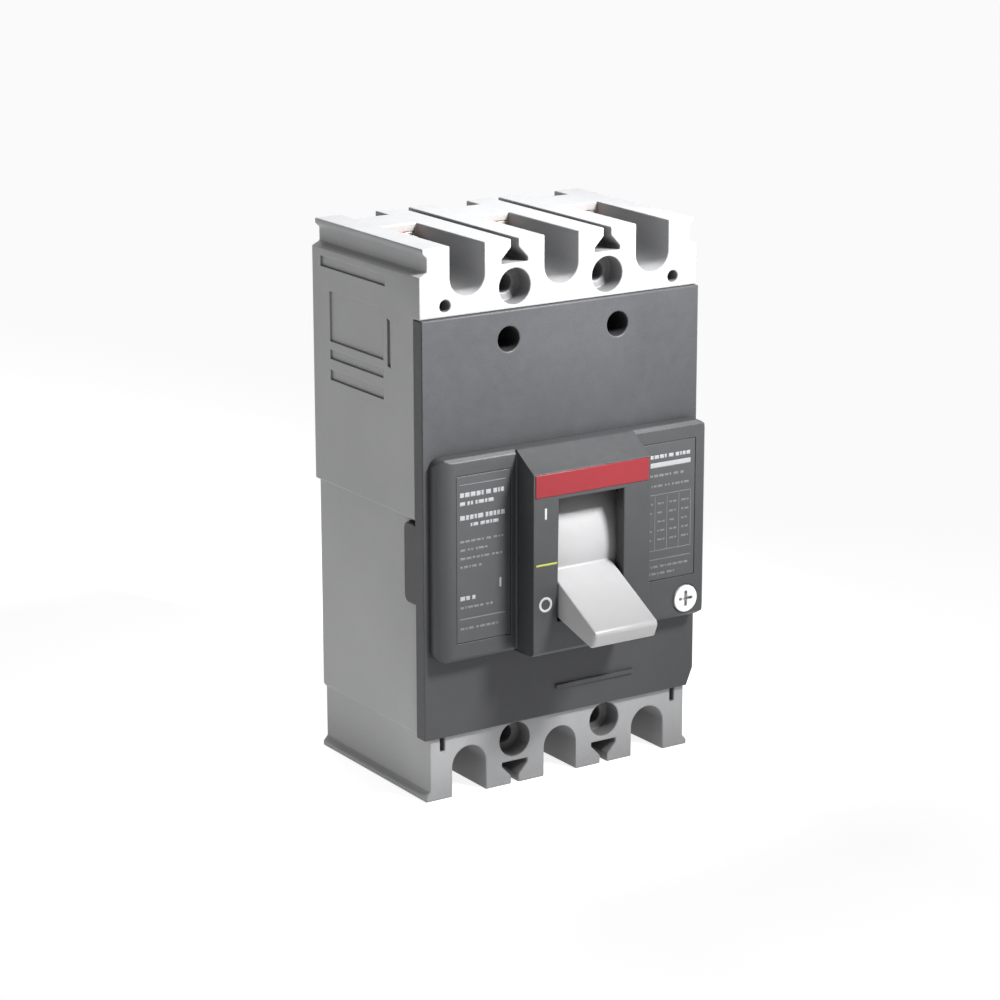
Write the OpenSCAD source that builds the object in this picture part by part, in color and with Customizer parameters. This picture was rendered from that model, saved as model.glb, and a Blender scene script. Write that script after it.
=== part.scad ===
// Three-pole molded case circuit breaker, built as its separate working pieces.
// Frame: origin at the centre of the back mounting face, +X right, -Y out of the front, +Z up.
// The line terminals are at the top, the load terminals at the bottom, and the handle is at OFF.

/* [Case] */
// Spacing of the poles, centre to centre
pole_pitch = 25.4; // [25.4:0.1:25.8]
// Height of the base
body_h = 130; // [130:0.5:132]
// Depth from the mounting face to the front of the terminal blocks
terminal_depth = 47.7; // [47.5:0.1:48]
// Depth to the front of the cover
cover_depth = 48.7; // [48.5:0.1:49]
// Depth to the front of the escutcheon plate
plate_depth = 53; // [52.5:0.1:53.5]
// Depth to the front of the raised block round the handle
block_depth = 60; // [59.5:0.1:60.5]

/* [Mounting] */
// Spacing of the mounting holes up the height
mount_spacing_z = 108; // [108:0.1:108.4]
// Diameter of the mounting screw holes
mount_hole_d = 4.5; // [4.2:0.1:4.6]
// Diameter of the counterbores
mount_bore_d = 8.4; // [8:0.1:8.6]

/* [Terminals] */
// Width of a terminal slot
slot_w = 9.2; // [9.2:0.1:9.6]
// Thickness of the copper terminal bars
bar_t = 2; // [1.8:0.1:2]

/* [Handle] */
// Swing of the handle to each side of its middle position, degrees
handle_swing = 22; // [22:0.5:23]
// Width of the toggle
toggle_w = 17.4; // [17:0.1:17.4]

/* [Hidden] */
$fn = 48;
poles = [-pole_pitch, 0, pole_pitch];
case_w = 3 * pole_pitch;
half_w = case_w / 2;
half_h = body_h / 2;
lower_inset = 1.2;
end_inset = 2;
wall_inner_x = half_w - 2.8;
floor_y = -3;
cavity_half_z = 47;
cover_top_z = 48.9;
cover_bottom_z = -49.6;
step_z = 2.5;
side_front_y = -45;
tab_back_y = -40;
partition_x = pole_pitch / 2;
partition_t = 2;
groove_x = pole_pitch / 2;
bar_back_y = -18.5;
bar_front_y = bar_back_y - bar_t;
bar_w = 8.4;
screw_x = 15;
screw_z = 42.3;
post_r = 3.9;

// Places of the shafts, as [y, z]
handle_pivot = [-35, -8];
shaft = [-17, -10];
trip_shaft = [-30, -33];
cradle_pivot = [-38, 4];
link_pivot = [-40, -6];
armature_pivot = [-12, -31.3];
button_x = 32.2;
button_z = -25.7;
shaft_r = 5;
trip_r = 2.5;
running_fit = 0.05;

// Toggle linkage: the lever pin turns with the crossbar, and the knee is where both links meet
open_angle = 38;
lever_arm = [-0.5, 8];
upper_length = 11;
lower_length = 12.1;

// A point turned about a centre, angles from +Y towards +Z
function turned_point(p, centre, a) = centre + [
    (p - centre)[0] * cos(a) - (p - centre)[1] * sin(a),
    (p - centre)[0] * sin(a) + (p - centre)[1] * cos(a)];

// Where two circles meet, on the -Z side
function meeting(a, ra, b, rb) = let (d = norm(b - a), u = (b - a) / d,
    t = (ra * ra - rb * rb + d * d) / (2 * d)) a + u * t + [u[1], -u[0]] * sqrt(ra * ra - t * t);

lever_pin = turned_point(shaft + lever_arm, shaft, open_angle);
knee = meeting(link_pivot, upper_length, lever_pin, lower_length);
knee_pin_r = 1.1;
knee_slack = 1.2;
spacer_places = [[-34.6, 7], [-20, -22]];
frame_screw_x = 9.9;
frame_screw_z = [3.5, -21.2];

// ---- Shared shapes ----

// A box given by its lowest and highest corner
module block(low, high) {
    translate(low) cube(high - low);
}

// A round bar along X
module rod_x(x0, x1, at, r) {
    translate([x0, at[0], at[1]]) rotate([0, 90, 0]) cylinder(h = x1 - x0, r = r);
}

// A round bar along Y, from y0 back to y1
module rod_y(y0, y1, x, z, r) {
    translate([x, y0, z]) rotate([-90, 0, 0]) cylinder(h = y1 - y0, r = r);
}

// A flat shape drawn in Y and Z, extruded along X
module profile_yz(x0, x1) {
    translate([x0, 0, 0]) rotate([90, 0, 90]) linear_extrude(x1 - x0) children();
}

// A flat shape drawn in X and Z, extruded along Y from y0 back to y1
module profile_xz(y0, y1) {
    translate([0, y1, 0]) rotate([90, 0, 0]) linear_extrude(y1 - y0) children();
}

// A flat shape drawn in X and Y, extruded along Z
module profile_xy(z0, z1) {
    translate([0, 0, z0]) linear_extrude(z1 - z0) children();
}

// A rectangle with rounded corners
module rounded(low, high, r) {
    translate([low[0] + r, low[1]]) square([high[0] - low[0] - 2 * r, high[1] - low[1]]);
    translate([low[0], low[1] + r]) square([high[0] - low[0], high[1] - low[1] - 2 * r]);
    for (x = [low[0] + r, high[0] - r], z = [low[1] + r, high[1] - r])
        translate([x, z]) circle(r);
}

// A bar with round ends between two points
module bar_between(a, b, r) {
    along = (b - a) / norm(b - a);
    side = [-along[1], along[0]] * r * 0.96;
    translate(a) circle(r);
    translate(b) circle(r);
    polygon([a + side, b + side, b - side, a - side]);
}

// A piece turned about an X axis through a point
module turned(at, angle) {
    translate([0, at[0], at[1]]) rotate([angle, 0, 0]) translate([0, -at[0], -at[1]]) children();
}

// A coil of round wire along Z, swept as a tube
module coil(r, wire_r, height, turns) {
    sides = 6;
    steps = turns * 10;
    rings = [for (i = [0 : steps]) let (a = 360 * i * turns / steps, z = height * i / steps)
        for (j = [0 : sides - 1]) let (b = 360 * j / sides)
            [(r + wire_r * cos(b)) * cos(a), (r + wire_r * cos(b)) * sin(a), z + wire_r * sin(b)]];
    walls = [for (i = [0 : steps - 1], j = [0 : sides - 1], half = [0, 1])
        let (k = (j + 1) % sides, a = i * sides, b = a + sides)
        half == 0 ? [a + j, a + k, b + k] : [a + j, b + k, b + j]];
    polyhedron(rings, concat([[for (j = [0 : sides - 1]) j]], walls,
        [[for (j = [sides - 1 : -1 : 0]) steps * sides + j]]));
}

// ---- Case ----

// The outline of the base seen from the front: upper half full width, lower half inset,
// and both ends cut back to half dovetails with a thin lip at the very end
module base_outline() {
    half_top = [[half_w, step_z], [half_w, half_h - 6.4], [half_w - end_inset, half_h - 5.4],
        [half_w - end_inset, half_h - 2.2], [half_w - 0.9, half_h - 1.2], [half_w - 0.9, half_h]];
    half_bottom = [[half_w - 0.9, -half_h], [half_w - 0.9, -half_h + 1.2],
        [half_w - end_inset, -half_h + 2.4], [half_w - end_inset, -half_h + 15],
        [half_w - lower_inset, -half_h + 15.8], [half_w - lower_inset, step_z]];
    right = concat(half_bottom, half_top);
    polygon(concat(right, [for (i = [len(right) - 1 : -1 : 0]) [-right[i][0], right[i][1]]]));
}

// A dovetail groove for a phase barrier, open at the end of the case
module barrier_groove(end) {
    scale([1, end]) polygon([[-1, half_h + 1], [-1, half_h - 2], [-3.5, half_h - 4.6],
        [-3.5, half_h - 5.6], [3.5, half_h - 5.6], [3.5, half_h - 4.6],
        [1, half_h - 2], [1, half_h + 1]]);
}

// The front pocket of a terminal, round at its inner end
module terminal_slot(end) {
    inner_z = half_h - 11.8 + slot_w / 2;
    translate([0, end * inner_z]) circle(slot_w / 2);
    translate([-slot_w / 2, end > 0 ? inner_z : -half_h - 1]) square([slot_w, half_h + 1 - inner_z]);
}

// The hollow of one pole
module pole_hollow(x) {
    left = max(x - pole_pitch / 2 + partition_t / 2, -wall_inner_x);
    right = min(x + pole_pitch / 2 - partition_t / 2, wall_inner_x);
    block([left, -terminal_depth - 1, -cavity_half_z], [right, floor_y, cavity_half_z]);
}

// The hollow side marks: a recessed window with ribs, a long slot and a short slot
module side_marks() {
    block([-half_w - 1, -33, 54.4], [-half_w + 0.5, -4, 56.8]);
    block([-half_w - 1, -32, 37.2], [-half_w + 0.45, -8, 49]);
    block([-half_w - 1, -32, 28], [-half_w + 0.45, -8, 30.4]);
    block([-half_w - 1, -32, 33], [-half_w + 0.45, -8, 35.2]);
    block([-half_w - 1, -35.2, 36], [-half_w + 0.6, -33.8, 47]);
}

module base() {
    color([0.66, 0.66, 0.67]) difference() {
        union() {
            difference() {
                profile_xz(-terminal_depth, 0) base_outline();
                for (x = poles) pole_hollow(x);
            }
            for (x = [-screw_x, screw_x], z = [-screw_z, screw_z])
                rod_y(-35, floor_y + 0.5, x, z, post_r);
            // Pads under the fixed contacts and posts under the magnet yokes
            for (x = poles) {
                block([x - 3.5, -8.4, 9], [x + 3.5, floor_y + 0.5, 17]);
                for (side = [-1, 1])
                    translate([x + side * 5.35, 0, 0])
                        block([-0.75, -12.9, -42.9], [0.75, floor_y + 0.5, -36]);
            }
        }
        // Seat of the cover between the terminal blocks, and the notches for its tabs
        block([-half_w - 1, -terminal_depth - 1, cover_bottom_z], [half_w + 1, side_front_y, cover_top_z]);
        for (side = [-1, 1]) translate([side * half_w, 0, 0])
            profile_yz(-3, 3) rounded([-60, -17.9], [tab_back_y, 1.6], 2);
        // Terminal slots, front pockets and rear notches
        for (x = poles, end = [-1, 1]) {
            translate([x, 0, 0]) profile_xz(-terminal_depth - 1, bar_back_y) terminal_slot(end);
            translate([x, 0, end * (half_h - 3)])
                block([-slot_w / 2, -6, -4], [slot_w / 2, 1, 4]);
            // Way in for the copper bar through the end wall
            translate([x, 0, end * 52.5])
                block([-bar_w / 2 - 0.1, bar_front_y - 0.1, -6], [bar_w / 2 + 0.1, bar_back_y, 6]);
            // Pocket for the captive nut behind the copper bar
            translate([x, 0, end * (half_h - 6)])
                block([-4.1, bar_back_y - 0.1, -4.1], [4.1, bar_back_y + 4.2, 4.1]);
        }
        // Barrier grooves between the poles
        for (x = [-groove_x, groove_x], end = [-1, 1])
            translate([x, 0, 0]) profile_xz(-terminal_depth - 1, 1) barrier_groove(end);
        // Mounting holes
        for (x = [-groove_x, groove_x], z = [-mount_spacing_z / 2, mount_spacing_z / 2]) {
            rod_y(-terminal_depth - 1, 1, x, z, mount_hole_d / 2);
            rod_y(-terminal_depth - 1, -terminal_depth + 5, x, z, mount_bore_d / 2);
        }
        // Small holes and slits at the outer corners
        for (side = [-1, 1]) {
            rod_y(-terminal_depth - 1, -terminal_depth + 8, side * 31.3, 51.5, 1.4);
            translate([side * 32.7, 0, -51.4])
                block([-0.6, -terminal_depth - 1, -1.8], [0.6, -terminal_depth + 6, 1.8]);
        }
        // Room for the tubes of the cover
        for (x = [-screw_x, screw_x], z = [-screw_z, screw_z]) rod_y(-60, -35, x, z, 4.7);
        // Bores for the screws of the mechanism frame, and for the screws and pegs of the cover
        for (side = [-1, 1], z = frame_screw_z) rod_y(-4, -0.3, side * frame_screw_x, z, 1);
        for (x = [-screw_x, screw_x], z = [-screw_z, screw_z]) rod_y(-36, -12, x, z, 1.6);
        // Bearings of the crossbar and of the trip bar, open to the front
        for (side = [-1, 1]) translate([side * partition_x, 0, 0]) {
            rod_x(-2, 2, shaft, shaft_r + running_fit);
            block([-2, -60, shaft[1] - shaft_r - running_fit], [2, shaft[0], shaft[1] + shaft_r + running_fit]);
            rod_x(-2, 2, trip_shaft, trip_r + running_fit);
            block([-2, -60, trip_shaft[1] - trip_r - running_fit],
                [2, trip_shaft[0], trip_shaft[1] + trip_r + running_fit]);
        }
        // Room for the mechanism at the front edge of the partitions
        block([-partition_x - 2, -60, -30.3], [partition_x + 2, -37, 14.3]);
        side_marks();
        mirror([1, 0, 0]) side_marks();
    }
}

module front_cover() {
    inner_y = -cover_depth + 2.5;
    color([0.33, 0.33, 0.35]) difference() {
        union() {
            difference() {
                profile_xz(-cover_depth, side_front_y) polygon([
                    [-half_w, cover_bottom_z], [half_w - 1.8, cover_bottom_z], [half_w, cover_bottom_z + 4.4],
                    [half_w, cover_top_z], [-half_w, cover_top_z]]);
                block([-half_w + 2.6, inner_y, -cavity_half_z + 0.8], [half_w - 2.6, -40, cavity_half_z - 0.8]);
            }
            // Side tabs that reach back over the base
            for (side = [-1, 1]) translate([side * (half_w - 1), 0, 0])
                profile_yz(-1, 1) rounded([-46, -17.7], [tab_back_y - 0.2, 1.4], 1.8);
            // Tubes over the posts
            for (x = [-screw_x, screw_x], z = [-screw_z, screw_z]) rod_y(inner_y - 1, -35.1, x, z, 4.5);
            // Pegs that press into the lower posts
            for (x = [-screw_x, screw_x]) rod_y(-36, -24, x, -screw_z, 1.55);
            // Cup that guides the test button
            difference() {
                rod_y(inner_y - 1, -44, button_x, button_z, 4.8);
                block([35, -60, button_z - 6], [40, -30, button_z + 6]);
            }
            // Thin lip across the lower zone
            block([-2, -cover_depth - 0.5, -43.3], [20, -cover_depth + 0.5, -42.3]);
        }
        for (x = [-screw_x, screw_x]) {
            rod_y(-cover_depth - 1, -37, x, screw_z, 2.9);
            rod_y(-38, -34, x, screw_z, 1.6);
        }
        rod_y(-cover_depth - 1, -45, button_x, button_z, 3.75);
        rod_y(-46, -43, button_x, button_z, 1.6);
        // Opening over the mechanism
        block([-14, -60, -28.8], [14, -30, 11.8]);
    }
}

// ---- Escutcheon and labels ----

plate_left = -36.5;
plate_right = 37.8;
plate_top_z = 17.5;
plate_bottom_z = -30.3;
block_left = -15.7;
block_right = 16.7;
block_top_z = 13;
strip_low_z = 7.4;

// The plate with its rounded left side and bevelled edges, and the raised block with its sloping top
module escutcheon_solid() {
    bevel = 0.9;
    right_bevel = 0.6;
    round_r = 4.1;
    back = -cover_depth;
    front = -plate_depth;
    intersection() {
        profile_xz(front, back)
            rounded([plate_left, plate_bottom_z], [plate_right, plate_top_z], 2.5);
        profile_yz(plate_left, plate_right) polygon([[back, plate_bottom_z],
            [front + bevel, plate_bottom_z], [front, plate_bottom_z + bevel],
            [front, plate_top_z - bevel], [front + bevel, plate_top_z], [back, plate_top_z]]);
        profile_xy(plate_bottom_z, plate_top_z) polygon([[plate_left, back],
            for (a = [0 : 10 : 90]) [plate_left, front] + round_r * [1 - cos(a), 1 - sin(a)],
            [plate_right - right_bevel, front], [plate_right, front + right_bevel], [plate_right, back]]);
    }
    block_solid();
}

module block_solid() {
    back = -cover_depth;
    edge = 0.8;
    profile_yz(block_left, block_right) polygon([[back, plate_bottom_z],
        [-block_depth + edge, plate_bottom_z], [-block_depth, plate_bottom_z + edge],
        [-block_depth, block_top_z], [-plate_depth, plate_top_z], [back, plate_top_z]]);
}

module escutcheon() {
    color([0.40, 0.41, 0.42]) difference() {
        escutcheon_solid();
        difference() {
            block([plate_left + 2, -plate_depth + 2, plate_bottom_z + 2],
                [plate_right - 2, 0, plate_top_z - 2]);
            block_solid();
        }
        block([-13.9, -block_depth + 3, -28.5], [13.9, 0, 11.5]);
        block([-9.1, -block_depth - 1, -22.5], [9.3, -block_depth + 4, 6.5]);
        // Shallow seats for the strip and the labels
        block([block_left + 0.5, -block_depth - 1, strip_low_z],
            [block_right - 0.5, -block_depth + 0.4, block_top_z - 0.2]);
        block([-32, -plate_depth - 1, -26], [-17.2, -plate_depth + 0.3, 13.5]);
        block([18.3, -plate_depth - 1, -20], [34.8, -plate_depth + 0.3, 13.5]);
        rod_y(-plate_depth - 1, -plate_depth + 3, button_x, button_z, 3.4);
        rod_y(-plate_depth + 2, 0, button_x, button_z, 3.75);
    }
}

module colour_strip() {
    color([0.78, 0.16, 0.20])
        block([block_left + 0.5, -block_depth - 0.15, strip_low_z],
            [block_right - 0.5, -block_depth + 0.4, block_top_z - 0.2]);
}

module left_label() {
    color([0.38, 0.39, 0.40])
        block([-31.9, -plate_depth + 0.05, -25.9], [-17.3, -plate_depth + 0.3, 13.4]);
}

module right_label() {
    color([0.38, 0.39, 0.40])
        block([18.4, -plate_depth + 0.05, -19.9], [34.7, -plate_depth + 0.3, 13.4]);
}

// ---- Handle ----

shield_r = 21;
shield_t = 1.6;
shield_half_angle = 60;
crown_r = 15;
sheet_t = 1.4;

// A ring sector about the handle pivot, centred on -Y
module sector(outer, inner, half_angle) {
    far = outer * 3;
    translate(handle_pivot) intersection() {
        difference() {
            circle(outer, $fn = 96);
            circle(inner, $fn = 96);
        }
        polygon([[0, 0], [-far * cos(half_angle), far * sin(half_angle)],
            [-far, far * sin(half_angle)], [-far, -far * sin(half_angle)],
            [-far * cos(half_angle), -far * sin(half_angle)]]);
    }
}

// The toggle, drawn pointing straight out and then swung down to OFF
module handle() {
    y = handle_pivot[0];
    z = handle_pivot[1];
    color([0.86, 0.86, 0.87]) turned(handle_pivot, handle_swing) difference() {
        union() {
            profile_yz(-12.6, 12.6) sector(shield_r, shield_r - shield_t, shield_half_angle);
            profile_yz(-toggle_w / 2, toggle_w / 2) polygon([[y - 20, z - 4.7], [y - 41.5, z - 2.3],
                [y - 42.3, z - 1.6], [y - 42.3, z + 1.6], [y - 41.5, z + 2.3], [y - 20, z + 4.7]]);
            block([-7, y - 20.5, z - 4.5], [7, y - crown_r - 0.05, z + 4.5]);
        }
        block([-3.1, y - 24, z - 1.6], [3.1, y - crown_r, z + 1.6]);
    }
}

module handle_yoke() {
    y = handle_pivot[0];
    z = handle_pivot[1];
    color([0.72, 0.70, 0.62]) turned(handle_pivot, handle_swing) difference() {
        union() {
            block([-9.8, y - crown_r, z - 5], [9.8, y - crown_r + sheet_t, z + 5]);
            block([-3, y - 23.5, z - 1.5], [3, y - crown_r, z + 1.5]);
            for (side = [-1, 1]) translate([side * 9.1, 0, 0]) {
                profile_yz(-0.7, 0.7) polygon([[y - crown_r, z - 5], [y - 2, z - 3.2],
                    [y - 2, z + 3.2], [y - crown_r, z + 5]]);
                rod_x(-0.7, 0.7, handle_pivot, 3.7);
            }
        }
        rod_x(-12, 12, handle_pivot, 1.5 + running_fit);
        // Notches that hook the main springs
        for (side = [-1, 1]) translate([side * 5.6, 0, 0])
            block([-0.7, y - crown_r - 1, z + 3.4], [0.7, y - 10, z + 6]);
    }
}

module handle_pivot_pins() {
    color("silver") for (side = [-1, 1]) translate([side * 8.8, 0, 0]) {
        rod_x(-1.8, 1.8, handle_pivot, 1.5);
    }
}

// ---- Operating mechanism, in the middle pole ----

module mechanism_frame() {
    color([0.70, 0.69, 0.63]) difference() {
        for (side = [-1, 1]) {
            translate([side * 7.6, 0, 0]) profile_yz(-0.6, 0.6) polygon([
                [-44, -18], [-44, 4], [-37, 9], [floor_y, 9], [floor_y, -2.5],
                [-24, -2.5], [-24, -17.5], [floor_y, -17.5], [floor_y, -25], [-34, -25]]);
            for (z = [[-1.5, 8], [-24, -18.5]])
                translate([side * 9.4, 0, 0]) block([-1.8, floor_y - 1.2, z[0]], [1.8, floor_y, z[1]]);
        }
        rod_x(-12, 12, handle_pivot, 1.5);
        rod_x(-12, 12, cradle_pivot, 1.4);
        for (at = spacer_places) rod_x(-12, 12, at, 0.8);
        for (side = [-1, 1], z = frame_screw_z) rod_y(-10, 0, side * frame_screw_x, z, 1.05);
    }
}

module mechanism_spacers() {
    color("silver") for (at = spacer_places) {
        rod_x(-7, 7, at, 1.2);
        rod_x(-8.2, 8.2, at, 0.8);
    }
}

module frame_screws() {
    head_y = floor_y - 1.2;
    color("silver") for (side = [-1, 1], z = frame_screw_z) difference() {
        union() {
            rod_y(head_y - 1.6, head_y, side * frame_screw_x, z, 1.6);
            rod_y(head_y, -0.4, side * frame_screw_x, z, 1);
        }
        translate([side * frame_screw_x, 0, z])
            block([-2, head_y - 2, -0.25], [2, head_y - 0.9, 0.25]);
    }
}

// The latched lever that carries the linkage, with its toe at the trip bar
module cradle() {
    color([0.62, 0.62, 0.60]) difference() {
        profile_yz(-1.2, 1.2) {
            translate(cradle_pivot) circle(2.6);
            translate(link_pivot) circle(2.8);
            polygon([[-40, 5], [-42.3, -6.6], [-39.4, -24], [-31.3, -24], [-31.3, -22.4],
                [-35.8, -20], [-37.6, -6], [-35.8, 3]]);
        }
        rod_x(-2, 2, cradle_pivot, 1.4 + running_fit);
        rod_x(-2, 2, link_pivot, 1.2);
    }
}

module cradle_pin() {
    color("silver") rod_x(-8.2, 8.2, cradle_pivot, 1.4);
}

// Two plates on the linkage pin, which turn on the cradle and carry the knee pin
module upper_links() {
    color([0.68, 0.67, 0.62]) difference() {
        for (side = [-1, 1]) translate([side * 2.1, 0, 0])
            profile_yz(-0.6, 0.6) bar_between(link_pivot, knee, 2.1);
        rod_x(-4, 4, link_pivot, 1.2 + running_fit);
        rod_x(-4, 4, knee, knee_pin_r);
    }
}

module link_pin() {
    color("silver") rod_x(-3.2, 3.2, link_pivot, 1.2);
}

module knee_pin() {
    color("silver") rod_x(-5.4, 5.4, knee, knee_pin_r);
}

// Two plates from the lever pin to the knee, where their eyes have slack
module lower_links() {
    color([0.60, 0.60, 0.58]) difference() {
        for (side = [-1, 1]) translate([side * 3.6, 0, 0]) profile_yz(-0.6, 0.6) {
            bar_between(lever_pin, knee, 2);
            translate(knee) circle(knee_pin_r + knee_slack + 0.8);
        }
        rod_x(-5, 5, lever_pin, 1.2 + running_fit);
        rod_x(-5, 5, knee, knee_pin_r + knee_slack);
    }
}

module lever_pin() {
    color("silver") rod_x(-4.5, 4.5, lever_pin, 1.2);
}

// The two tension springs from the crown of the yoke to the knee pin
module main_springs() {
    crown = turned_point([handle_pivot[0] - crown_r + 0.8, handle_pivot[1] + 2.2], handle_pivot, handle_swing);
    span = knee - crown;
    color([0.55, 0.55, 0.55]) for (side = [-1, 1])
        translate([side * 5.6, crown[0], crown[1]])
            rotate([-90 + atan2(span[1], span[0]), 0, 0])
                translate([0, 0, 3.2]) coil(1.15, 0.3, norm(span) - 5.6, 9);
}

// ---- Crossbar and moving contacts ----

// Everything on the crossbar is drawn closed and then turned to open
module opened() {
    turned(shaft, open_angle) children();
}

module crossbar() {
    y = shaft[0];
    z = shaft[1];
    color([0.25, 0.22, 0.20]) opened() difference() {
        rod_x(-34.6, 34.6, shaft, shaft_r);
        for (x = poles) {
            translate([x, 0, 0]) block([-4.6, y - 2.6, z - 6], [4.6, y + 6, z + 6]);
            rod_x(x - 7, x + 7, shaft, 1.25);
        }
    }
}

module contact_arms() {
    color([0.72, 0.45, 0.28]) opened() for (x = poles) translate([x, 0, 0]) difference() {
        profile_yz(-2, 2) translate(shaft) {
            circle(2.4);
            polygon([[-2.2, -8], [2.2, -8], [2.2, 19], [3.4, 21], [3.4, 25], [-0.6, 25], [-2.2, 20]]);
        }
        rod_x(-3, 3, shaft, 1.25 + running_fit);
        rod_x(-3, 3, shaft + lever_arm, 1.2);
    }
}

module contact_arm_pins() {
    color("silver") opened() for (x = poles) rod_x(x - 6.9, x + 6.9, shaft, 1.25);
}

module moving_contact_tips() {
    color([0.82, 0.82, 0.80]) opened() for (x = poles)
        rod_y(shaft[0] + 3.4, shaft[0] + 4.8, x, shaft[1] + 23, 1.9);
}

module contact_springs() {
    color([0.6, 0.6, 0.6]) opened() for (x = poles)
        translate([x + 2.5, shaft[0], shaft[1]]) rotate([0, 90, 0]) coil(1.85, 0.28, 1.7, 2.5);
}

// ---- Current path ----

contact_z = 13;
line_run_y = -8.5;
load_run_y = -6.5;

// A terminal pad with its way in, mirrored for the load side
module terminal_bar(x, end, run_back_y, run_end_z) {
    z_leg = cavity_half_z - 2.5;
    difference() {
        scale([1, 1, end]) translate([x, 0, 0]) {
            profile_xz(bar_front_y, bar_back_y) {
                translate([-bar_w / 2, z_leg]) square([bar_w, half_h - 6 - z_leg]);
                translate([0, half_h - 6]) circle(bar_w / 2);
            }
            block([-bar_w / 2, bar_front_y, z_leg], [bar_w / 2, run_back_y, z_leg + bar_t]);
            block([-bar_w / 2, run_back_y - bar_t, run_end_z], [bar_w / 2, run_back_y, z_leg + bar_t]);
        }
        rod_y(-30, 0, x, end * (half_h - 6), 2.6);
    }
}

module line_conductors() {
    color([0.74, 0.47, 0.30]) for (x = poles) terminal_bar(x, 1, line_run_y, 7);
}

module fixed_contact_tips() {
    color([0.82, 0.82, 0.80]) for (x = poles)
        rod_y(line_run_y - bar_t - 1.6, line_run_y - bar_t, x, contact_z, 2.2);
}

module load_conductors() {
    color([0.74, 0.47, 0.30]) for (x = poles) terminal_bar(x, -1, load_run_y, 24);
}

// ---- Arc chutes ----

plate_places = [for (i = [0 : 8]) -38 + 3 * i];
chute_low_z = 16.8;
chute_high_z = 37.2;

module arc_plates() {
    color([0.60, 0.61, 0.63]) for (x = poles, y = plate_places)
        translate([x, 0, 0]) profile_xz(y, y + 1.2) difference() {
            union() {
                translate([-8.3, chute_low_z]) square([16.6, chute_high_z - chute_low_z]);
                for (z = [20, 30]) translate([-9.3, z]) square([18.6, 3]);
            }
            polygon([[-4.2, chute_low_z - 1], [-2, 25], [2, 25], [4.2, chute_low_z - 1]]);
        }
}

module arc_side_boards() {
    color([0.80, 0.72, 0.58]) for (x = poles, side = [-1, 1]) translate([x + side * 8.9, 0, 0])
        difference() {
            block([-0.5, -40, chute_low_z - 0.3], [0.5, -12, chute_high_z + 0.3]);
            for (y = plate_places, z = [20, 30]) block([-1, y - 0.1, z - 0.1], [1, y + 1.3, z + 3.1]);
        }
}

// ---- Trip unit ----

bimetal_low_z = -40;

module flexible_braids() {
    tail = turned_point(shaft + [0, -8], shaft, open_angle);
    across = [cos(open_angle), sin(open_angle)];
    out = [sin(open_angle), -cos(open_angle)];
    face_y = load_run_y - bar_t;
    color([0.78, 0.50, 0.33]) for (x = poles) profile_yz(x - 1.8, x + 1.8) polygon([
        tail - across * 1.2, tail + across * 1.2, tail + across * 1.2 + out * 3.6,
        [face_y, -24.5], [face_y, -29], [face_y - 1.7, -28.6], [face_y - 2.2, -21],
        tail - across * 1.2 + out * 3]);
}

// Bimetal strips, bent where they sit on the load conductor, with the tapped hole for the screw
module bimetal_strips() {
    color([0.66, 0.60, 0.50]) for (x = poles) difference() {
        union() {
            block([x - 3.5, -37, bimetal_low_z], [x + 3.5, load_run_y - bar_t, bimetal_low_z + 1]);
            block([x - 3.5, load_run_y - bar_t - 1, bimetal_low_z],
                [x + 3.5, load_run_y - bar_t, bimetal_low_z + 7]);
        }
        translate([x, -35, bimetal_low_z - 1]) cylinder(h = 3, r = 1);
    }
}

module calibration_screws() {
    color([0.80, 0.70, 0.40]) for (x = poles) difference() {
        translate([x, -35, 0]) {
            translate([0, 0, bimetal_low_z - 1.4]) cylinder(h = 1.4, r = 1.8);
            translate([0, 0, bimetal_low_z]) cylinder(h = 4.8, r = 1);
        }
        block([x - 2, -35.25, bimetal_low_z - 2], [x + 2, -34.75, bimetal_low_z - 0.8]);
    }
}

module magnet_yokes() {
    color([0.50, 0.51, 0.53]) for (x = poles) translate([x, 0, 0]) difference() {
        union() {
            block([-6.1, -21.5, -43], [6.1, -13, -41.5]);
            for (side = [-1, 1]) translate([side * 5.35, 0, 0]) profile_yz(-0.75, 0.75)
                polygon([[-21.5, -43], [-13, -43], [-13, -35.8], [-10.4, -35.8], [-10.4, -29.6],
                    [-13.7, -29.6], [-13.7, -34], [-21.5, -34]]);
        }
        rod_x(-8, 8, armature_pivot, 0.8);
    }
}

module armature(x) {
    color([0.58, 0.58, 0.56]) translate([x, 0, 0]) difference() {
        union() {
            block([-6.1, -24, -31.9], [6.1, -14.1, -30.7]);
            block([-4.3, -15, -31.9], [4.3, -12, -30.7]);
            rod_x(-4.3, 4.3, armature_pivot, 1.4);
        }
        rod_x(-8, 8, armature_pivot, 0.8 + running_fit);
    }
}

module armature_pins() {
    color("silver") for (x = poles) rod_x(x - 6.1, x + 6.1, armature_pivot, 0.8);
}

// The bar that every pole and the test button push to release the cradle
module trip_bar() {
    y = trip_shaft[0];
    z = trip_shaft[1];
    color([0.85, 0.78, 0.55]) {
        rod_x(-34.6, 34.6, trip_shaft, trip_r);
        for (x = poles) {
            block([x - 2, y - 8, z - 0.9], [x + 2, y, z + 0.7]);
            block([x - 2, y, z - 2], [x + 2, y + 7.6, z - 0.7]);
        }
        block([-1.5, y - 1, z], [1.5, y + 1, z + 11.5]);
        block([button_x - 1.5, y - 1.3, z], [button_x + 1.5, y + 1, z + 9.2]);
    }
}

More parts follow.
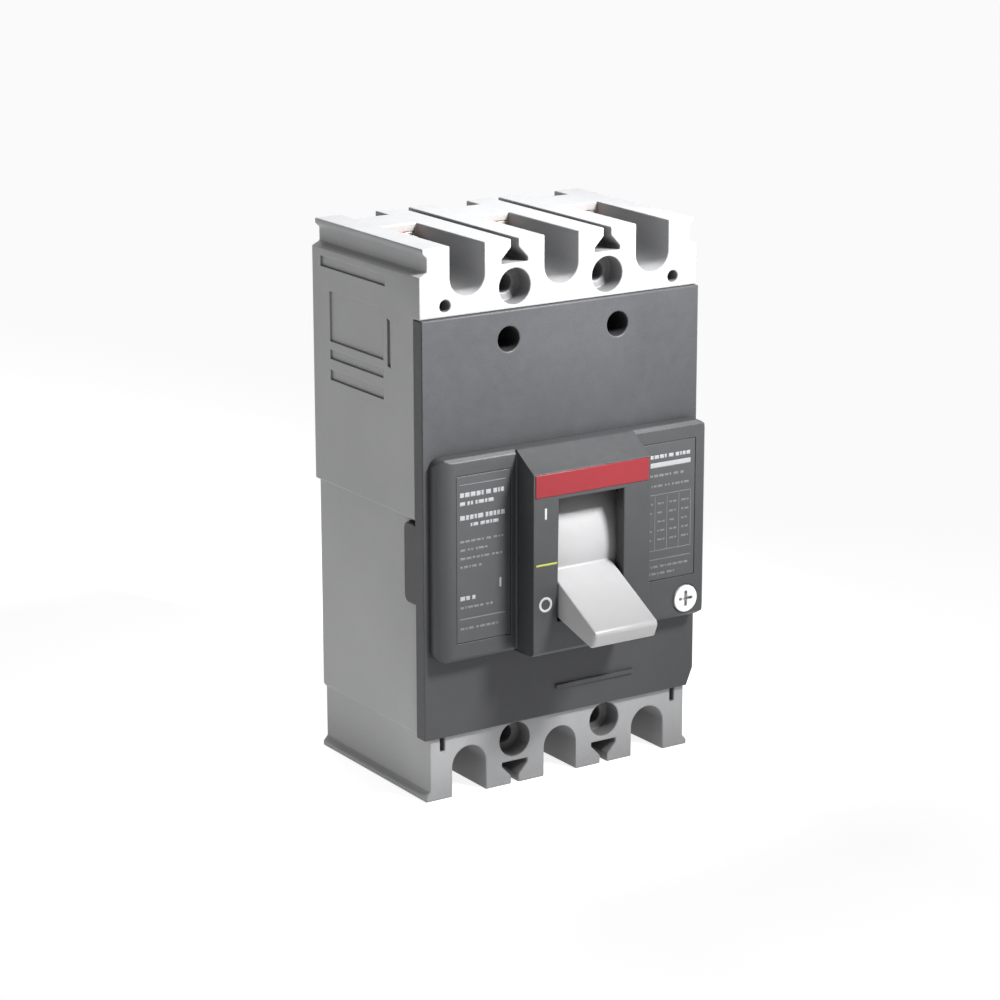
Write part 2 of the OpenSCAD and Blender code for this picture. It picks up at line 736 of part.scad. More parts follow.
module test_button() {
    finger_y = trip_shaft[0] - 1.3;
    color([0.80, 0.80, 0.81]) difference() {
        union() {
            rod_y(-plate_depth - 0.5, -50.9, button_x, button_z, 3.3);
            rod_y(-50.9, -49.7, button_x, button_z, 3.6);
            rod_y(-49.7, finger_y - 1.6, button_x, button_z, 1.5);
            rod_y(finger_y - 1.6, finger_y - 0.4, button_x, button_z, 0.8);
        }
        // Cross slot for a screwdriver tip
        translate([button_x, 0, button_z]) {
            block([-1.9, -plate_depth - 1, -0.35], [1.9, -plate_depth + 0.4, 0.35]);
            block([-0.35, -plate_depth - 1, -1.9], [0.35, -plate_depth + 0.4, 1.9]);
        }
    }
}

module test_button_spring() {
    color([0.6, 0.6, 0.6]) translate([button_x, -45.3, button_z]) rotate([90, 0, 0])
        coil(2.5, 0.28, 4.1, 4);
}

// ---- Fasteners ----

module terminal_screws() {
    color([0.75, 0.75, 0.74]) for (x = poles, end = [-1, 1]) difference() {
        union() {
            rod_y(bar_front_y - 3, bar_front_y, x, end * (half_h - 6), 4.1);
            rod_y(bar_front_y, bar_back_y + 3.8, x, end * (half_h - 6), 2.5);
        }
        translate([x, 0, end * (half_h - 6)]) {
            block([-3, bar_front_y - 4, -0.5], [3, bar_front_y - 1.4, 0.5]);
            block([-0.5, bar_front_y - 4, -3], [0.5, bar_front_y - 1.4, 3]);
        }
    }
}

module terminal_nuts() {
    color([0.72, 0.70, 0.60]) for (x = poles, end = [-1, 1]) difference() {
        translate([x, 0, end * (half_h - 6)])
            block([-3.9, bar_back_y, -3.9], [3.9, bar_back_y + 3.8, 3.9]);
        rod_y(bar_back_y - 1, 0, x, end * (half_h - 6), 2.5);
    }
}

module cover_screws() {
    color([0.25, 0.25, 0.26]) for (x = [-screw_x, screw_x]) difference() {
        union() {
            rod_y(-40, -37, x, screw_z, 2.7);
            rod_y(-37, -14, x, screw_z, 1.5);
        }
        translate([x, 0, screw_z]) {
            block([-2, -41, -0.4], [2, -38.6, 0.4]);
            block([-0.4, -41, -2], [0.4, -38.6, 2]);
        }
    }
}

base();
front_cover();
escutcheon();
colour_strip();
left_label();
right_label();
handle();
handle_yoke();
handle_pivot_pins();
mechanism_frame();
mechanism_spacers();
frame_screws();
main_springs();
cradle();
cradle_pin();
link_pin();
upper_links();
knee_pin();
lower_links();
lever_pin();
crossbar();
contact_arms();
contact_arm_pins();
moving_contact_tips();
contact_springs();
line_conductors();
fixed_contact_tips();
arc_plates();
arc_side_boards();
flexible_braids();
load_conductors();
bimetal_strips();
calibration_screws();
magnet_yokes();
armature(poles[0]);  // armature_left
armature(poles[1]);  // armature_centre
armature(poles[2]);  // armature_right
armature_pins();
trip_bar();
test_button();
test_button_spring();
terminal_screws();
terminal_nuts();
cover_screws();
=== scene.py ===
"""Looks of the three-pole molded case breaker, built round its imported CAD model."""

import math
import random

import bmesh
import bpy
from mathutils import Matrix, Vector
from mathutils.bvhtree import BVHTree
from mathutils.kdtree import KDTree


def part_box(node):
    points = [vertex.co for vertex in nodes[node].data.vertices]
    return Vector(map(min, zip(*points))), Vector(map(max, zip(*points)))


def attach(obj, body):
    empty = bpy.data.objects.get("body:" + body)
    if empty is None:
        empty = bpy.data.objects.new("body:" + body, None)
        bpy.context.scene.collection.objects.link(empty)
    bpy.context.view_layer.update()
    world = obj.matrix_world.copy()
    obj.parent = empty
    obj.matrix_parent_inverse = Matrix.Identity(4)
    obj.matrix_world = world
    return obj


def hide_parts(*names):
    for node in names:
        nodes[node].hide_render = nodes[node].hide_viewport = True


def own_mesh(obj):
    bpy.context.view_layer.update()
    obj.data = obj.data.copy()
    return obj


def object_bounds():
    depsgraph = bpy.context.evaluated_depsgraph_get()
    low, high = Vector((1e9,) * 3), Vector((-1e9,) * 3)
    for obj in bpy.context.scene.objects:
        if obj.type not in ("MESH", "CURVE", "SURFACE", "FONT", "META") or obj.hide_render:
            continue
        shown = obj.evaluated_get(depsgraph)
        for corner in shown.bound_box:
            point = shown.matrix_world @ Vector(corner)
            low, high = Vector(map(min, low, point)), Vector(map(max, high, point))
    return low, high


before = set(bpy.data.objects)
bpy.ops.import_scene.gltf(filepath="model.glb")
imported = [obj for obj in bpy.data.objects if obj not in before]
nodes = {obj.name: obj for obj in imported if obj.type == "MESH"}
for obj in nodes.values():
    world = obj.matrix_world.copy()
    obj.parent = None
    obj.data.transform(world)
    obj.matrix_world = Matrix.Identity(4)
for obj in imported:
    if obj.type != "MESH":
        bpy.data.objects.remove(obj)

MM = 0.001
HARD_EDGE = math.radians(18)     # edges turning more than this keep a crease in the shading
ROUNDED_EDGE = math.radians(25)  # edges turning more than this are rounded on a moulding
FLAT_ENOUGH = math.radians(0.6)  # faces turning less than this are joined before rounding
WELD = 1e-6                      # metres, for the CAD mesh
SEAM_WELD = 5e-7                 # metres, for the gaps that rounding leaves
SLIVER = 2e-11                   # square metres, twice the area below which a face has no sure direction

cad_low, cad_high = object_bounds()


# ---------------------------------------------------------------- node helpers

def add(tree, kind, inputs=None, **properties):
    """A shader node with its properties and inputs set; an input may be a value or another node's output."""
    node = tree.nodes.new("ShaderNode" + kind)
    for key, value in properties.items():
        setattr(node, key, value)
    for key, value in (inputs or {}).items():
        if isinstance(value, bpy.types.NodeSocket):
            tree.links.new(value, node.inputs[key])
        else:
            node.inputs[key].default_value = value
    return node


def noise(tree, place, scale, detail=2.0, rough=0.5, distortion=0.0):
    return add(tree, "TexNoise", {"Vector": place, "Scale": scale, "Detail": detail,
                                  "Roughness": rough, "Distortion": distortion}).outputs["Fac"]


def ranged(tree, value, low, high, to_low=0.0, to_high=1.0):
    return add(tree, "MapRange", {"Value": value, "From Min": low, "From Max": high,
                                  "To Min": to_low, "To Max": to_high}).outputs["Result"]


def maths(tree, operation, a, b=0.0):
    return add(tree, "Math", {0: a, 1: b}, operation=operation).outputs[0]


def mixed(tree, factor, a, b, mode="MIX"):
    """A colour between a and b. Colours may be tuples of three or node outputs."""
    node = add(tree, "Mix", {0: factor}, data_type="RGBA", blend_type=mode)
    for index, colour in ((6, a), (7, b)):
        if isinstance(colour, bpy.types.NodeSocket):
            tree.links.new(colour, node.inputs[index])
        else:
            node.inputs[index].default_value = (*colour, 1.0)
    return node.outputs[2]


def shade(colour, factor):
    return tuple(min(1.0, c * factor) for c in colour)


def started(name, metallic, specular=0.5):
    material = bpy.data.materials.new(name)
    material.use_nodes = True
    tree = material.node_tree
    shader = tree.nodes["Principled BSDF"]
    shader.inputs["Metallic"].default_value = metallic
    shader.inputs["Specular IOR Level"].default_value = specular
    place = add(tree, "TexCoord").outputs["Object"]
    return material, tree, shader, place


def edge_mask(tree, radius, start, full):
    """1 along sharp outer and inner edges, 0 on flat faces, and the softened normal."""
    soft = add(tree, "Bevel", {"Radius": radius}, samples=4).outputs["Normal"]
    flat = add(tree, "NewGeometry").outputs["Normal"]
    same = add(tree, "VectorMath", {0: soft, 1: flat}, operation="DOT_PRODUCT").outputs["Value"]
    return ranged(tree, same, start, full, 0.0, 1.0), soft


def bumped(tree, height, depth, strength, normal=None):
    inputs = {"Height": height, "Distance": depth, "Strength": strength}
    if normal is not None:
        inputs["Normal"] = normal
    return add(tree, "Bump", inputs).outputs["Normal"]


# ------------------------------------------------------------------- materials

def plastic(name, colour, roughness, grain=0.3, depth=0.03, mottle=0.05, fleck=0.0,
            worn=0.25, specular=0.5, edge=0.35, translucence=0.0, recess_shade_strength=0.8):
    """Moulded plastic: spark-eroded grain, slow colour variation, glass flecks, edges rubbed lighter,
    and painted shade that darkens the colour in recesses."""
    material, tree, shader, place = started(name, 0.0, specular)
    broad = noise(tree, place, 38.0, 3.0, 0.55, 0.4)
    cloud = noise(tree, place, 420.0, 4.0, 0.6)
    grit = noise(tree, place, 1.0 / (grain * MM), 2.0, 0.6)
    tone = maths(tree, "ADD", maths(tree, "MULTIPLY", broad, 0.65), maths(tree, "MULTIPLY", cloud, 0.35))
    body = mixed(tree, ranged(tree, tone, 0.36, 0.64), shade(colour, 1 - mottle), shade(colour, 1 + mottle))
    if fleck:
        fibres = add(tree, "Mapping", {"Vector": place, "Scale": (700.0, 1500.0, 420.0),
                                       "Rotation": (0.5, 0.3, 0.7)}).outputs["Vector"]
        strands = noise(tree, fibres, 1.0, 5.0, 0.7, 2.0)
        body = mixed(tree, ranged(tree, strands, 0.62, 0.78, 0.0, fleck), body, shade(colour, 1.3))
        body = mixed(tree, ranged(tree, strands, 0.38, 0.24, 0.0, fleck), body, shade(colour, 0.72))
    edges, soft = edge_mask(tree, edge * MM, 0.985, 0.80)
    rubbed = maths(tree, "MULTIPLY", edges, ranged(tree, cloud, 0.38, 0.62, 0.3 * worn, worn))
    body = mixed(tree, rubbed, body, tuple(min(0.85, c * 1.25 + 0.06) for c in colour))
    # Painted shade: ambient occlusion darkens the colour in recesses, creases and under overhangs.
    open_sky = add(tree, "AmbientOcclusion", {"Distance": 22 * MM}, samples=4).outputs["AO"]
    painted_recess_shade = ranged(tree, open_sky, 0.78, 0.18, 0.0, recess_shade_strength)
    body = mixed(tree, painted_recess_shade, body, shade(colour, 0.22))
    tree.links.new(body, shader.inputs["Base Color"])
    uneven = maths(tree, "ADD", maths(tree, "MULTIPLY", grit, 0.5), maths(tree, "MULTIPLY", cloud, 0.5))
    dull = ranged(tree, uneven, 0.3, 0.7, roughness - 0.07, roughness + 0.09)
    tree.links.new(dull, shader.inputs["Roughness"])
    waves = bumped(tree, broad, 0.25 * MM, 0.12, soft)
    tree.links.new(bumped(tree, grit, depth * MM, 0.6, waves), shader.inputs["Normal"])
    if translucence:
        shader.inputs["Subsurface Weight"].default_value = translucence
        shader.inputs["Subsurface Radius"].default_value = (0.0012, 0.0010, 0.0009)
        shader.inputs["Subsurface Scale"].default_value = 1.0
    return material


def metal(name, colour, roughness, brush=(1.0, 1.0, 1.0), stain=None, stained=0.0):
    """Bare or plated metal: drawn or brushed lines along one direction, slow staining, softened edges."""
    material, tree, shader, place = started(name, 1.0)
    lines = add(tree, "Mapping", {"Vector": place, "Scale": brush}).outputs["Vector"]
    drawn = noise(tree, lines, 900.0, 4.0, 0.65)
    broad = noise(tree, place, 110.0, 5.0, 0.6, 0.6)
    spots = noise(tree, place, 1400.0, 2.0, 0.5)
    body = mixed(tree, ranged(tree, drawn, 0.3, 0.7), shade(colour, 0.88), shade(colour, 1.08))
    if stain:
        body = mixed(tree, ranged(tree, broad, 0.42, 0.66, 0.0, stained), body, stain)
    edges, soft = edge_mask(tree, 0.15 * MM, 0.97, 0.75)
    body = mixed(tree, maths(tree, "MULTIPLY", edges, 0.4), body, shade(colour, 1.2))
    tree.links.new(body, shader.inputs["Base Color"])
    mixed_up = maths(tree, "ADD", maths(tree, "MULTIPLY", drawn, 0.6), maths(tree, "MULTIPLY", broad, 0.4))
    dull = ranged(tree, mixed_up, 0.3, 0.7, roughness - 0.08, roughness + 0.14)
    tree.links.new(dull, shader.inputs["Roughness"])
    pits = bumped(tree, spots, 0.01 * MM, 0.4, soft)
    tree.links.new(bumped(tree, drawn, 0.02 * MM, 0.32, pits), shader.inputs["Normal"])
    return material


def braid(name):
    """Flat braided copper: strands crossing at about forty degrees, tarnished in the gaps."""
    material, tree, shader, place = started(name, 1.0)
    heights = []
    for turn in (0.7, -0.7):
        run = add(tree, "Mapping", {"Vector": place, "Rotation": (turn, 0.0, 0.0)}).outputs["Vector"]
        heights.append(add(tree, "TexWave", {"Vector": run, "Scale": 420.0, "Distortion": 0.6, "Detail": 1.0},
                           wave_type="BANDS", bands_direction="Z").outputs["Fac"])
    strands = maths(tree, "MAXIMUM", *heights)
    colour = mixed(tree, ranged(tree, strands, 0.35, 0.95), (0.16, 0.055, 0.03), (0.86, 0.42, 0.25))
    tree.links.new(colour, shader.inputs["Base Color"])
    tree.links.new(ranged(tree, strands, 0.2, 1.0, 0.6, 0.32), shader.inputs["Roughness"])
    tree.links.new(bumped(tree, strands, 0.15 * MM, 0.8), shader.inputs["Normal"])
    return material


def fibre(name, colour):
    """Pressed fibre board: fine layered fibres, matt."""
    material, tree, shader, place = started(name, 0.0, 0.3)
    run = add(tree, "Mapping", {"Vector": place, "Scale": (1.0, 0.25, 3.0)}).outputs["Vector"]
    threads = noise(tree, run, 1500.0, 6.0, 0.75, 1.2)
    cloud = noise(tree, place, 160.0, 3.0, 0.6)
    body = mixed(tree, ranged(tree, threads, 0.34, 0.66), shade(colour, 0.78), shade(colour, 1.15))
    body = mixed(tree, ranged(tree, cloud, 0.5, 0.75, 0.0, 0.35), body, shade(colour, 0.6))
    tree.links.new(body, shader.inputs["Base Color"])
    tree.links.new(ranged(tree, threads, 0.3, 0.7, 0.75, 0.92), shader.inputs["Roughness"])
    tree.links.new(bumped(tree, threads, 0.05 * MM, 0.5), shader.inputs["Normal"])
    return material


for old in list(bpy.data.materials):
    old.name = "packed_" + old.name

looks = {
    "case_grey": plastic("case_grey", (0.365, 0.367, 0.374), 0.52, grain=0.40, depth=0.06, mottle=0.045,
                         fleck=0.22, worn=0.22, specular=0.42),
    "cover_dark": plastic("cover_dark", (0.057, 0.058, 0.062), 0.50, grain=0.36, depth=0.07, mottle=0.09,
                          fleck=0.10, worn=0.22, specular=0.45),
    "escutcheon_dark": plastic("escutcheon_dark", (0.055, 0.057, 0.060), 0.46, grain=0.32, depth=0.06,
                               mottle=0.08, fleck=0.0, worn=0.25, specular=0.5),
    "strip_red": plastic("strip_red", (0.235, 0.016, 0.023), 0.34, grain=0.22, depth=0.008, mottle=0.05,
                         fleck=0.0, worn=0.15, specular=0.5),
    "label_film": plastic("label_film", (0.066, 0.069, 0.072), 0.38, grain=0.20, depth=0.010, mottle=0.06,
                          fleck=0.0, worn=0.10, specular=0.5),
    "handle_white": plastic("handle_white", (0.430, 0.427, 0.434), 0.38, grain=0.30, depth=0.025,
                            mottle=0.025, fleck=0.0, worn=0.12, specular=0.5, edge=0.35, translucence=0.15,
                            recess_shade_strength=0.3),
    "button_grey": plastic("button_grey", (0.800, 0.800, 0.810), 0.36, grain=0.24, depth=0.012, mottle=0.03,
                           fleck=0.0, worn=0.12, specular=0.5),
    "moulded_rotor": plastic("moulded_rotor", (0.060, 0.042, 0.034), 0.55, grain=0.28, depth=0.04,
                             mottle=0.12, fleck=0.35, worn=0.3),
    "trip_bar_plastic": plastic("trip_bar_plastic", (0.620, 0.500, 0.270), 0.42, grain=0.25, depth=0.015,
                                mottle=0.06, fleck=0.05, worn=0.2, specular=0.5, edge=0.3,
                                translucence=0.1),
    "zinc_steel": metal("zinc_steel", (0.680, 0.690, 0.700), 0.34, brush=(1.0, 6.0, 1.0),
                        stain=(0.56, 0.55, 0.44), stained=0.35),
    "bright_steel": metal("bright_steel", (0.620, 0.620, 0.630), 0.24, brush=(0.2, 6.0, 6.0)),
    "spring_steel": metal("spring_steel", (0.360, 0.350, 0.340), 0.36, brush=(3.0, 1.0, 3.0),
                          stain=(0.20, 0.16, 0.13), stained=0.5),
    "black_steel": metal("black_steel", (0.070, 0.070, 0.075), 0.46, brush=(1.0, 1.0, 1.0),
                         stain=(0.16, 0.15, 0.14), stained=0.4),
    "copper": metal("copper", (0.820, 0.400, 0.240), 0.32, brush=(6.0, 1.0, 0.6), stain=(0.42, 0.20, 0.13),
                    stained=0.5),
    "silver_contact": metal("silver_contact", (0.800, 0.790, 0.760), 0.30, brush=(1.0, 1.0, 1.0),
                            stain=(0.35, 0.33, 0.30), stained=0.4),
    "arc_steel": metal("arc_steel", (0.520, 0.520, 0.530), 0.38, brush=(6.0, 1.0, 1.0),
                       stain=(0.33, 0.34, 0.38), stained=0.5),
    "bimetal": metal("bimetal", (0.560, 0.480, 0.380), 0.34, brush=(5.0, 1.0, 0.4),
                     stain=(0.44, 0.30, 0.22), stained=0.4),
    "brass_screw": metal("brass_screw", (0.780, 0.570, 0.270), 0.28, brush=(1.0, 5.0, 1.0),
                         stain=(0.40, 0.28, 0.14), stained=0.3),
    "copper_braid": braid("copper_braid"),
    "fibre_board": fibre("fibre_board", (0.330, 0.150, 0.085)),
    "print_light": plastic("print_light", (0.360, 0.370, 0.380), 0.42, grain=0.18, depth=0.006, mottle=0.12,
                           fleck=0.0, worn=0.0),
    "print_faint": plastic("print_faint", (0.165, 0.170, 0.176), 0.42, grain=0.18, depth=0.006, mottle=0.12,
                           fleck=0.0, worn=0.0),
    "print_white": plastic("print_white", (0.560, 0.540, 0.550), 0.40, grain=0.18, depth=0.006, mottle=0.10,
                           fleck=0.0, worn=0.0),
    "print_yellow": plastic("print_yellow", (0.470, 0.480, 0.080), 0.40, grain=0.18, depth=0.006,
                            mottle=0.10, fleck=0.0, worn=0.0),
}

frame_looks = {}
for name, node in nodes.items():
    for material_slot in node.material_slots:
        frame_looks[name] = material_slot.material.name.removeprefix("packed_")
        material_slot.material = looks[frame_looks[name]]


# -------------------------------------------------------------- geometry tools

def new_piece(name, bm, body, look):
    mesh = bpy.data.meshes.new(name)
    bm.to_mesh(mesh)
    bm.free()
    piece = bpy.data.objects.new(name, mesh)
    bpy.context.scene.collection.objects.link(piece)
    mesh.materials.append(looks[look])
    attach(piece, body)
    return piece


def strays(bm, solid, width):
    """Middles of the faces that turned over or left the solid's surface when its edges were rounded."""
    same_way = 0.2
    found = []
    for loops in bm.calc_loop_triangles():
        a, b, c = (loop.vert.co for loop in loops)
        normal = (b - a).cross(c - a)
        if normal.length < SLIVER:
            continue
        normal.normalize()
        middle = (a + b + c) / 3
        near = solid.find_nearest(middle)
        agrees = normal.dot(near[1]) > same_way or any(
            normal.dot(other[1]) > same_way for other in solid.find_nearest_range(middle, width * 1.3))
        if near[3] > width * 1.05 or not agrees:
            found.append(middle)
    return found


def near_any(edge, tree, reach):
    a, b = (v.co for v in edge.verts)
    steps = max(2, int((b - a).length / MM) + 1)
    return any(tree.find(a.lerp(b, k / steps))[2] < reach for k in range(steps + 1))


def unfolded(bm):
    """Closes the hairline gaps that rounding leaves, and takes out faces folded flat on each other."""
    bmesh.ops.remove_doubles(bm, verts=bm.verts, dist=SEAM_WELD)
    bmesh.ops.triangulate(bm, faces=bm.faces, quad_method="BEAUTY", ngon_method="BEAUTY")
    on_corners = {}
    for face in bm.faces:
        on_corners.setdefault(frozenset(face.verts), []).append(face)
    folded = [face for faces in on_corners.values() if len(faces) > 1 for face in faces]
    bmesh.ops.delete(bm, geom=folded, context="FACES")


def softened(node, width, segments=2, body="housing"):
    """Stands for a CAD node: the same solid with its edges rounded, as a moulding has them.
    An edge stays sharp where rounding it would fold a narrow face."""
    width *= MM
    sharp = bmesh.new()
    sharp.from_mesh(nodes[node].data)
    bmesh.ops.remove_doubles(sharp, verts=sharp.verts, dist=WELD)
    solid = BVHTree.FromBMesh(sharp)
    bmesh.ops.dissolve_limit(sharp, angle_limit=FLAT_ENOUGH, verts=sharp.verts, edges=sharp.edges)
    sharp.edges.ensure_lookup_table()
    chosen = {e.index for e in sharp.edges if e.calc_face_angle(0) > ROUNDED_EDGE}
    reach = 1.5 * MM
    most_rounds = 14
    for _ in range(most_rounds):
        bm = sharp.copy()
        bm.edges.ensure_lookup_table()
        bmesh.ops.bevel(bm, geom=[bm.edges[i] for i in sorted(chosen)], offset=width, offset_type="OFFSET",
                        segments=segments, profile=0.5, affect="EDGES", clamp_overlap=False)
        bad = strays(bm, solid, width)
        if not bad:
            break
        tree = KDTree(len(bad))
        for index, middle in enumerate(bad):
            tree.insert(middle, index)
        tree.balance()
        folded = {i for i in chosen if near_any(sharp.edges[i], tree, reach)}
        chosen -= folded
        if not folded:
            reach *= 1.6
    sharp.free()
    unfolded(bm)
    for face in bm.faces:
        face.smooth = True
    for edge in bm.edges:
        edge.smooth = edge.calc_face_angle(0) < HARD_EDGE
    piece = new_piece(node + "_moulded", bm, body, frame_looks[node])
    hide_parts(node)


softened("base", 0.30)
softened("front_cover", 0.30)
softened("escutcheon", 0.25)
softened("colour_strip", 0.08)
softened("left_label", 0.05, 1)
softened("right_label", 0.05, 1)
softened("handle", 0.45, 3, "toggle_handle")
softened("test_button", 0.20, 2, "button")


def coiled(node, wire, turns, sides=12, steps_a_turn=36):
    """A finely wound coil along Y in place of a CAD spring, which a joint presses towards its rear end."""
    low, high = (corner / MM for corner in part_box(node))
    centre = (low + high) / 2
    radius = (high.x - low.x) / 2 - wire
    steps = turns * steps_a_turn
    bm = bmesh.new()
    rings = []
    for step in range(steps + 1):
        turn = 2 * math.pi * step / steps_a_turn
        y = high.y - wire + (low.y - high.y + 2 * wire) * step / steps
        rings.append([])
        for side in range(sides):
            across = wire * math.cos(2 * math.pi * side / sides)
            along = wire * math.sin(2 * math.pi * side / sides)
            rings[-1].append(bm.verts.new(Vector((centre.x + (radius + across) * math.cos(turn), y + along,
                                                  centre.z + (radius + across) * math.sin(turn))) * MM))
    for near, far in zip(rings, rings[1:]):
        for side in range(sides):
            after = (side + 1) % sides
            bm.faces.new((near[side], near[after], far[after], far[side])).smooth = True
    bm.faces.new(rings[0])
    bm.faces.new(rings[-1])
    bmesh.ops.recalc_face_normals(bm, faces=bm.faces)
    coil = new_piece(node + "_coil", bm, "housing", frame_looks[node])
    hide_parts(node)
    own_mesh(coil)


coiled("test_button_spring", 0.28, 4)


# ----------------------------------------------------------------- printed marks

def slab(bm, low, high):
    """A closed box between two corners, in millimetres."""
    corners = [bm.verts.new(Vector((x, y, z)) * MM)
               for x in (low[0], high[0]) for y in (low[1], high[1]) for z in (low[2], high[2])]
    for ring in ((0, 1, 3, 2), (4, 6, 7, 5), (0, 4, 5, 1), (2, 3, 7, 6), (0, 2, 6, 4), (1, 5, 7, 3)):
        bm.faces.new([corners[i] for i in ring])


def ring_mark(bm, centre, outer, inner, front, back, sides=48):
    """A closed flat ring facing the front."""
    loops = []
    for radius, y in ((outer, front), (inner, front), (inner, back), (outer, back)):
        loops.append([bm.verts.new(Vector((centre[0] + radius * math.cos(2 * math.pi * k / sides), y,
                                           centre[1] + radius * math.sin(2 * math.pi * k / sides))) * MM)
                      for k in range(sides)])
    for a in range(4):
        near, far = loops[a], loops[(a + 1) % 4]
        for k in range(sides):
            bm.faces.new((near[k], near[(k + 1) % sides], far[(k + 1) % sides], far[k]))


def front_of(node):
    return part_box(node)[0][1] / MM


def dashes(x0, x1, draw):
    """Short print segments that fill a row, standing for a line of small print."""
    spans = []
    while x0 < x1 - 0.4:
        end = min(x1, x0 + draw.uniform(0.5, 1.5))
        spans.append((x0, end))
        x0 = end + draw.choice((0.22, 0.22, 0.22, 0.6))
    return spans


def printed(name, rows, node, look, body="housing", lift=0.02):
    """Ink on the front of a node. A row is its left and right end, middle height and thickness,
    and True where it is broken into small print."""
    draw = random.Random(5)
    front = front_of(node)
    bm = bmesh.new()
    for x0, x1, z, tall, broken in rows:
        for left, right in (dashes(x0, x1, draw) if broken else [(x0, x1)]):
            slab(bm, (left, front - lift, z - tall / 2), (right, front + 0.06, z + tall / 2))
    bmesh.ops.recalc_face_normals(bm, faces=bm.faces)
    new_piece(name, bm, body, look)


printed("left_print", [
    (-31.0, -18.9, 8.9, 1.1, True), (-31.0, -21.4, 6.9, 0.9, True),
    (-31.0, -18.9, 3.6, 1.1, True), (-28.2, -20.2, 1.8, 0.8, True),
    (-31.0, -26.4, -15.4, 1.0, True), (-20.4, -19.9, -13.0, 2.2, False)], "left_label", "print_light")
printed("left_print_faint", [
    (-31.2, -18.7, 11.3, 0.25, False), (-31.0, -18.9, -2.0, 0.6, True), (-31.0, -23.0, -4.0, 0.6, True),
    (-31.0, -19.6, -6.0, 0.6, True), (-31.0, -25.2, -8.0, 0.6, True), (-31.0, -22.2, -17.6, 0.6, True),
    (-31.2, -18.7, -20.3, 0.3, False), (-31.0, -20.8, -22.6, 0.6, True)], "left_label", "print_faint")
printed("right_print", [
    (20.0, 33.2, 10.2, 0.9, True), (20.0, 33.4, 8.2, 1.2, False), (19.6, 20.5, 3.0, 0.9, False)],
    "right_label", "print_light")
printed("right_print_faint", [
    (21.4, 31.4, 5.6, 0.7, True), (22.0, 33.2, 3.1, 0.6, True), (19.6, 33.6, 1.0, 0.25, False),
    *[(x, x + 0.25, -5.9, 13.2, False) for x in (19.6, 23.05, 26.5, 29.95, 33.4)],
    *[(x, x + 2.2, z, 0.5, True)
      for x in (20.4, 23.85, 27.3, 30.75) for z in (-1.2, -3.4, -5.6, -7.8, -10.0)],
    (19.6, 33.65, -12.6, 0.25, False), (19.6, 33.65, -14.8, 0.3, False), (20.0, 33.0, -16.6, 0.6, True),
    (20.0, 29.0, -18.3, 0.6, True)], "right_label", "print_faint")

TRIP_LEVEL = -8.5       # height of the trip mark, millimetres
SHIELD_FRONT = -56.0    # front of the curved shield at that height, millimetres
printed("on_mark", [(-12.7, -12.1, 3.5, 2.6, False)], "escutcheon", "print_white", lift=0.03)
printed("trip_mark", [(-15.0, -9.3, TRIP_LEVEL, 0.5, False)], "escutcheon", "print_yellow", lift=0.03)

block_front = front_of("escutcheon")
off_mark = bmesh.new()
ring_mark(off_mark, (-12.4, -18.0), 1.8, 1.2, block_front - 0.03, block_front + 0.06)
bmesh.ops.recalc_face_normals(off_mark, faces=off_mark.faces)
new_piece("off_mark", off_mark, "housing", "print_white")

# A short tick on the curved shield, level with the trip mark while the handle is at OFF
shield_mark = bmesh.new()
slab(shield_mark, (-9.0, SHIELD_FRONT - 0.04, TRIP_LEVEL - 0.25),
     (-7.6, SHIELD_FRONT + 0.1, TRIP_LEVEL + 0.25))
bmesh.ops.recalc_face_normals(shield_mark, faces=shield_mark.faces)
new_piece("shield_mark", shield_mark, "toggle_handle", "print_yellow")


# ---------------------------------------------------------------- camera, light

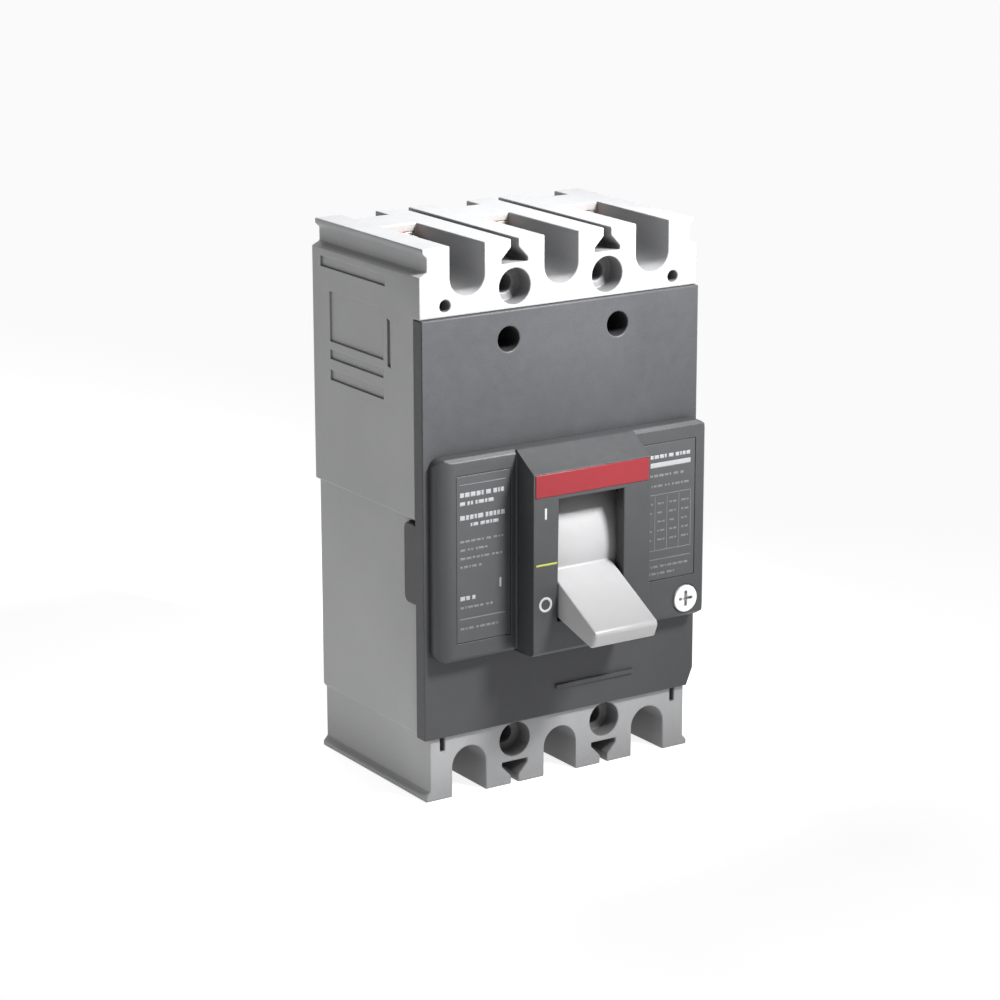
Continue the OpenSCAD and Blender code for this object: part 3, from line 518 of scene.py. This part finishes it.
def camera():
    """The photograph's camera, as fitted to the corners of the base."""
    azimuth, elevation, distance = math.radians(-33.28), math.radians(15.16), 0.74247
    target = Vector((0.0, -0.028, 0.0))
    direction = Vector((math.sin(azimuth) * math.cos(elevation), -math.cos(azimuth) * math.cos(elevation),
                        math.sin(elevation)))
    data = bpy.data.cameras.new("camera")
    data.sensor_width = 36.0
    data.lens = 112.67
    data.shift_x = -0.01413
    data.shift_y = -0.00965
    eye = bpy.data.objects.new("camera", data)
    eye.location = target + direction * distance
    eye.rotation_euler = direction.to_track_quat("Z", "Y").to_euler()
    bpy.context.scene.collection.objects.link(eye)
    bpy.context.scene.camera = eye


def softbox(name, place, aim, power, size, spread):
    """A square studio light at place, pointing at aim, that the camera doesn't see."""
    data = bpy.data.lights.new(name, "AREA")
    data.energy = power
    data.size = size
    data.spread = math.radians(spread)
    lamp = bpy.data.objects.new(name, data)
    lamp.location = place
    lamp.rotation_euler = (Vector(place) - Vector(aim)).to_track_quat("Z", "Y").to_euler()
    lamp.visible_camera = False
    bpy.context.scene.collection.objects.link(lamp)


def studio():
    """A glowing white floor, a dim white world and two lights."""
    bm = bmesh.new()
    bmesh.ops.create_grid(bm, x_segments=8, y_segments=8, size=6.0)
    mesh = bpy.data.meshes.new("floor")
    bm.to_mesh(mesh)
    bm.free()
    floor = bpy.data.objects.new("floor", mesh)
    floor.location = (0.0, 0.0, cad_low.z)
    bpy.context.scene.collection.objects.link(floor)
    material, tree, shader, place = started("floor", 0.0, 0.2)
    tree.links.new(mixed(tree, noise(tree, place, 3.0), (0.50, 0.50, 0.50), (0.52, 0.52, 0.52)),
                   shader.inputs["Base Color"])
    shader.inputs["Roughness"].default_value = 0.9
    shader.inputs["Emission Color"].default_value = (1.0, 1.0, 1.0, 1.0)
    shader.inputs["Emission Strength"].default_value = 0.85
    mesh.materials.append(material)
    world = bpy.data.worlds.new("studio")
    world.use_nodes = True
    background = world.node_tree.nodes["Background"]
    background.inputs["Color"].default_value = (1.0, 1.0, 1.0, 1.0)
    background.inputs["Strength"].default_value = 0.20
    bpy.context.scene.world = world
    softbox("key", (0.11, -0.27, 0.25), (0.010, -0.05, 0.090), 0.335, 0.08, 48.0)
    softbox("top", (0.00, 0.11, 0.24), (0.00, -0.02, 0.065), 0.068, 0.08, 90.0)


camera()
studio()
bpy.context.scene.view_settings.view_transform = "Standard"
bpy.context.scene.view_settings.look = "None"
